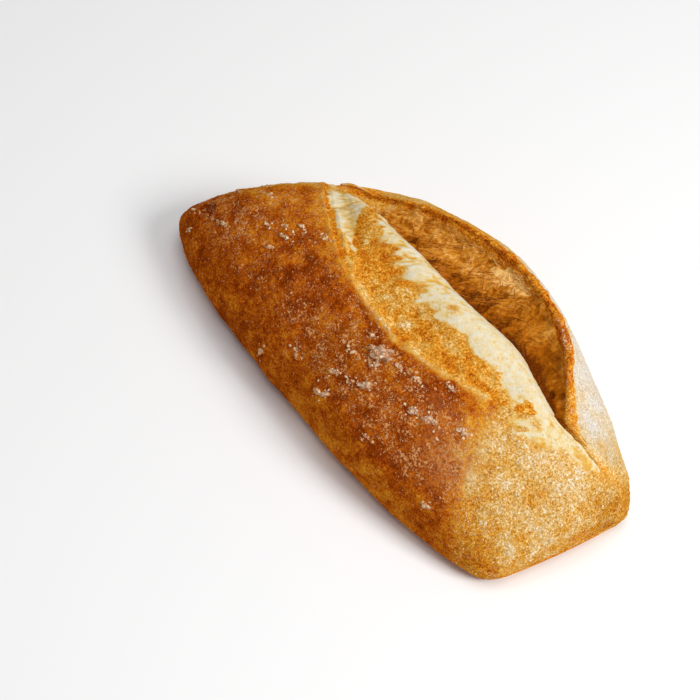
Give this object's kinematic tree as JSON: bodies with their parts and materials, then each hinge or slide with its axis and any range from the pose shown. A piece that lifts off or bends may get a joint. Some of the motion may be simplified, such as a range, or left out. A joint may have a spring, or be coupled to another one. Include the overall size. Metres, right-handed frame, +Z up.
{
  "type": "bread roll",
  "caption": "Rhomboid ciabatta roll lying on its flat base, with a long burst score, a raised curling ear of crust and a dusting of flour.",
  "frame": {"origin": "on the surface the roll stands on, under the middle of its box", "axes": "+X along the roll to the end shown nearest in the picture, +Y across it to the side of the raised ear, +Z up"},
  "size_m": [0.1684, 0.0878, 0.0438],
  "materials": {
    "crust": "baked crust: orange-brown with a dusting of flour, golden and cream crumb in the burst score"
  },
  "bodies": {
    "root": {"ciabatta_roll": "crust"}
  },
  "joints": []
}
